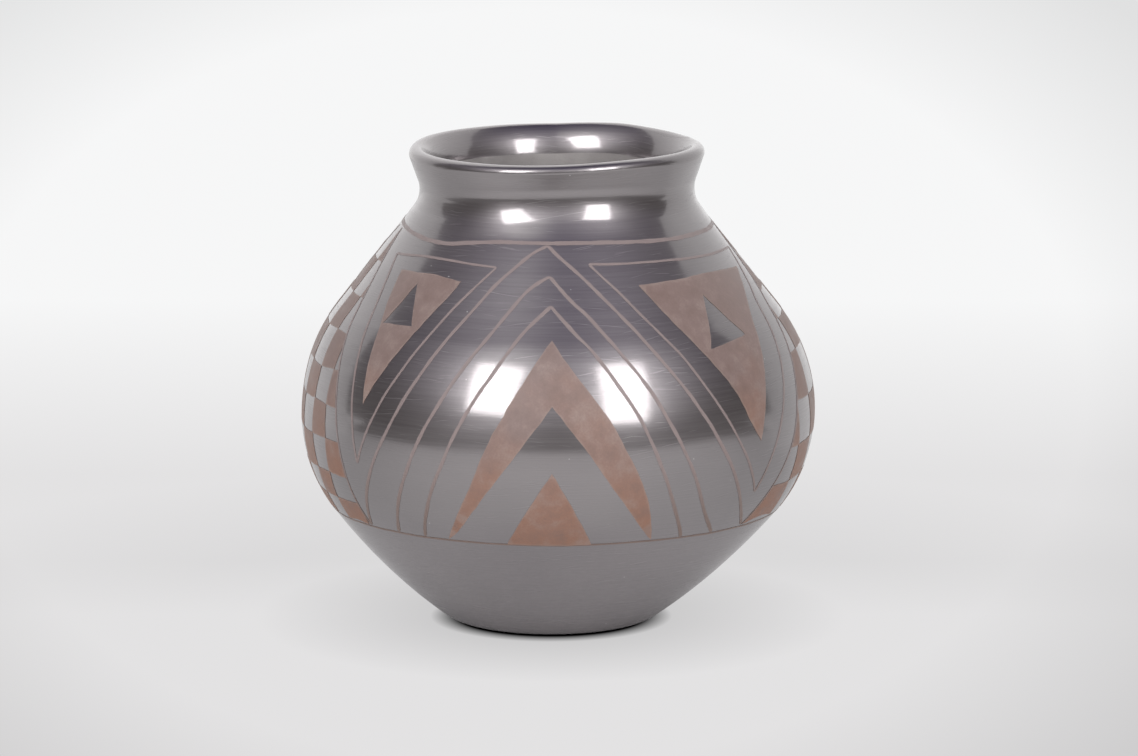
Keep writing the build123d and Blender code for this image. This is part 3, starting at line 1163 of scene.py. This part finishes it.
def corner_shade(tree, place):
    """How much the light falls off on the floor towards the four corners of the photograph."""
    axes = axes_of(tree, place)
    distance = calculated(tree, "ADD", axes["Y"], view_distance * MM)
    rise = calculated(tree, "MULTIPLY_ADD", axes["Y"], floor_rise, floor_drop)
    aside = calculated(tree, "DIVIDE", axes["X"], distance)
    above = calculated(tree, "DIVIDE", rise, distance)
    flat = add_node(tree, "CombineXYZ", {"X": aside, "Y": above}).outputs[0]
    spread = vector_results(tree, "MULTIPLY", flat, corner_spread)["Vector"]
    centred = vector_results(tree, "ADD", spread, corner_shift)["Vector"]
    length = vector_results(tree, "LENGTH", centred)["Value"]
    return ranged(tree, length, *corner_limits, 0.0, corner_loss)


def seen_floor(tree, place, depth, reach):
    """The floor as the camera sees it: pale, shaded in the corners, behind the jar and round its foot."""
    paper = mixed(tree, ranged(tree, depth, *far_depths), near_level, far_level)
    lit = mixed(tree, corner_shade(tree, place), paper, black)
    behind = ranged(tree, depth, *shadow_depths, 0.0, shadow_loss)
    close = ranged(tree, reach, *shadow_reach, 1.0, 0.0)
    shaded = mixed(tree, product(tree, behind, close), lit, black)
    near_foot = ranged(tree, reach, *contact_reach, 0.0, contact_share)
    beside_foot = ranged(tree, reach, *shade_reach, 0.0, 1 - contact_share)
    return glowing(tree, mixed(tree, calculated(tree, "ADD", near_foot, beside_foot), black, shaded))


def mirrored_floor(tree, depth):
    """The floor as the jar mirrors it: bright in front, dimmer beside the jar and white far behind."""
    beside = mixed(tree, ranged(tree, depth, *side_depths), floor_front, floor_side)
    around = mixed(tree, ranged(tree, depth, *back_depths), beside, floor_back)
    return glowing(tree, mixed(tree, ranged(tree, depth, *far_depths), around, white))


def add_floor():
    """A pale floor that turns to white behind the jar; far out the jar mirrors a dark room instead."""
    half = floor_size / 2
    corners = [(-half, -half, 0), (half, -half, 0), (half, half, 0), (-half, half, 0)]
    floor, tree, shader = stage_sheet("floor", corners)
    set_inputs(tree, shader, {"Base Color": floor_colour, "Roughness": floor_roughness})
    place = object_place(tree)
    depth = axes_of(tree, place)["Y"]
    reach = vector_results(tree, "DISTANCE", place, (lean[0][1] * MM, foot_depth, 0))["Value"]
    path = add_node(tree, "LightPath").outputs
    seen = seen_floor(tree, place, depth, reach)
    plain = mixed_shaders(tree, path["Is Camera Ray"], shader.outputs[0], seen)
    lit = product(tree, path["Is Glossy Ray"], ranged(tree, reach, *lit_reach))
    near = mixed_shaders(tree, lit, plain, mirrored_floor(tree, depth))
    beyond = product(tree, path["Is Glossy Ray"], ranged(tree, reach, *floor_end))
    room = glowing(tree, mixed(tree, ranged(tree, depth, *paper_depths), room_low, white))
    make_surface(tree, mixed_shaders(tree, beyond, near, room))


def add_card(name, aside, outline):
    """An upright white card that only lights the jar and is mirrored in it."""
    card, tree, _ = stage_sheet(name, [(aside, depth, height) for depth, height in outline])
    depth = axes_of(tree, object_place(tree))["Y"]
    colour = mixed(tree, ranged(tree, depth, *card_depths), card_dim, card_bright)
    clear = add_node(tree, "BsdfTransparent").outputs[0]
    seen = add_node(tree, "LightPath").outputs["Is Camera Ray"]
    make_surface(tree, mixed_shaders(tree, seen, glowing(tree, colour), clear))


def towards(azimuth, elevation):
    """Unit vector from the jar in a direction, angles in degrees."""
    turn, rise = math.radians(azimuth), math.radians(elevation)
    return Vector((math.sin(turn) * math.cos(rise), -math.cos(turn) * math.cos(rise), math.sin(rise)))


def glow(tree, direction, centre, edge, full, power, strength):
    """A round patch: its strength near its centre, fading to 0 at its edge, angles in degrees."""
    near = vector_results(tree, "DOT_PRODUCT", direction, towards(*centre))["Value"]
    limits = [math.cos(math.radians(angle)) for angle in (edge, full)]
    return product(tree, calculated(tree, "POWER", ranged(tree, near, *limits), power), strength)


def add_world():
    """White paper behind, and a dim room in front with the spill of the lamps."""
    world = bpy.data.worlds.new("studio")
    world.use_nodes = True
    bpy.context.scene.world = world
    tree = world.node_tree
    direction = add_node(tree, "TexCoord").outputs["Generated"]
    axes = axes_of(tree, direction)
    walls = mixed(tree, ranged(tree, axes["Z"], *room_heights), room_low, room_high)
    room = mixed(tree, glow(tree, direction, *dark_ceiling), walls, ceiling)
    left = glow(tree, direction, *left_spill)
    right = glow(tree, direction, *right_spill)
    spilled = mixed(tree, calculated(tree, "MAXIMUM", left, right), room, spill_colour)
    lit_room = mixed(tree, glow(tree, direction, *upper_spill), spilled, white)
    around = mixed(tree, ranged(tree, axes["Y"], *paper_directions), lit_room, card_bright)
    seen = add_node(tree, "LightPath").outputs["Is Camera Ray"]
    set_inputs(tree, tree.nodes["Background"], {"Color": mixed(tree, seen, around, far_level)})


def add_softbox(name, azimuth, elevation, width, height, roll):
    """A softbox lamp that looks at the jar, rolled by an angle in degrees."""
    lamp = bpy.data.lights.new(name, "AREA")
    lamp.shape = "RECTANGLE"
    lamp.size = width
    lamp.size_y = height
    lamp.energy = softbox_radiance * math.pi * width * height
    box = new_object(name, lamp)
    back = towards(azimuth, elevation)
    box.location = Vector((0, 0, belly_height * MM)) + back * softbox_distance
    box.rotation_mode = "QUATERNION"
    box.rotation_quaternion = back.to_track_quat("Z", "Y") @ Quaternion((0, 0, 1), math.radians(roll))


def add_camera():
    """The camera at the photograph's place."""
    back = Vector((0, -math.cos(view_elevation), math.sin(view_elevation)))
    up = Vector((0, math.sin(view_elevation), math.cos(view_elevation)))
    shift_right = (centre_pixel[0] - jar_pixel[0]) / pixels_per_mm
    shift_up = (jar_pixel[1] - centre_pixel[1]) / pixels_per_mm
    aim = Vector((shift_right, 0, view_target)) + up * shift_up
    data = bpy.data.cameras.new("camera")
    data.sensor_width = sensor_width
    data.lens = sensor_width * pixels_per_mm * view_distance / image_width
    camera = new_object("camera", data)
    camera.location = (aim + back * view_distance) * MM
    camera.rotation_mode = "QUATERNION"
    camera.rotation_quaternion = back.to_track_quat("Z", "Y")
    bpy.context.scene.camera = camera


add_clay([burnished_clay(), unburnished_clay()])
add_slip(painted_slip("painted_slip", panel_gloss), painted_slip("check_slip", check_gloss))
add_floor()
for name, (aside, outline) in cards.items():
    add_card(name, aside, outline)
add_world()
for name, softbox in softboxes.items():
    add_softbox(name, *softbox)
add_camera()
bpy.context.scene.view_settings.view_transform = "Standard"
